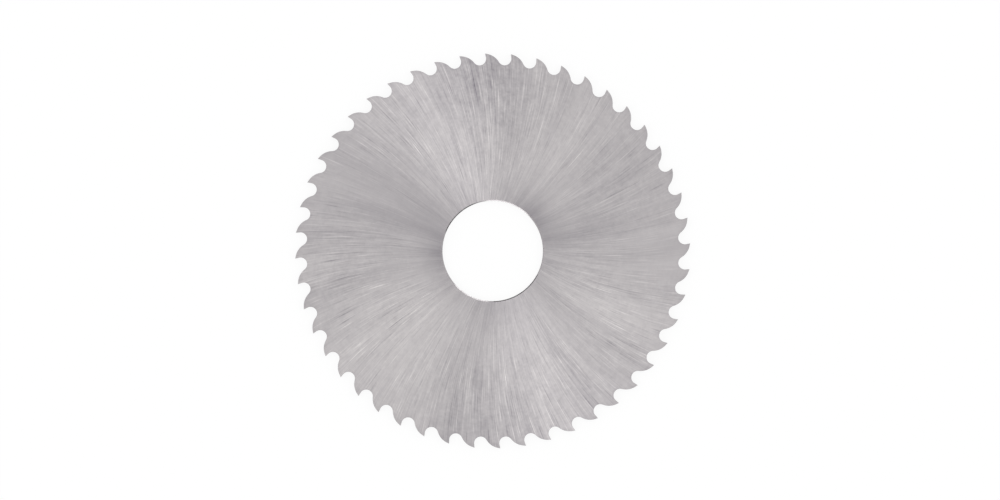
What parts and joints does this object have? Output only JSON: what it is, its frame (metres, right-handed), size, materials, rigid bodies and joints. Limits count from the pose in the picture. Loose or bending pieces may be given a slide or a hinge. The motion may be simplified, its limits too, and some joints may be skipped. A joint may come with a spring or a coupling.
{
  "type": "slitting saw",
  "caption": "Thin toothed steel disc with a plain arbor bore, hollow ground sides and curved-back teeth, for cutting narrow slots in metal.",
  "frame": {"origin": "on the bore's axis, in the plane of the lower tooth corners that the blade lies on", "axes": "+Z along the bore's axis, away from the surface that the blade lies on; +X through a tooth tip; seen from +Z the teeth cut counter-clockwise"},
  "size_m": [0.063, 0.063, 0.001],
  "materials": {
    "ground_steel": "bright ground tool steel with fine grinding lines that run from the bore out to the teeth"
  },
  "bodies": {
    "root": {"saw_blade": "ground_steel"}
  },
  "joints": []
}
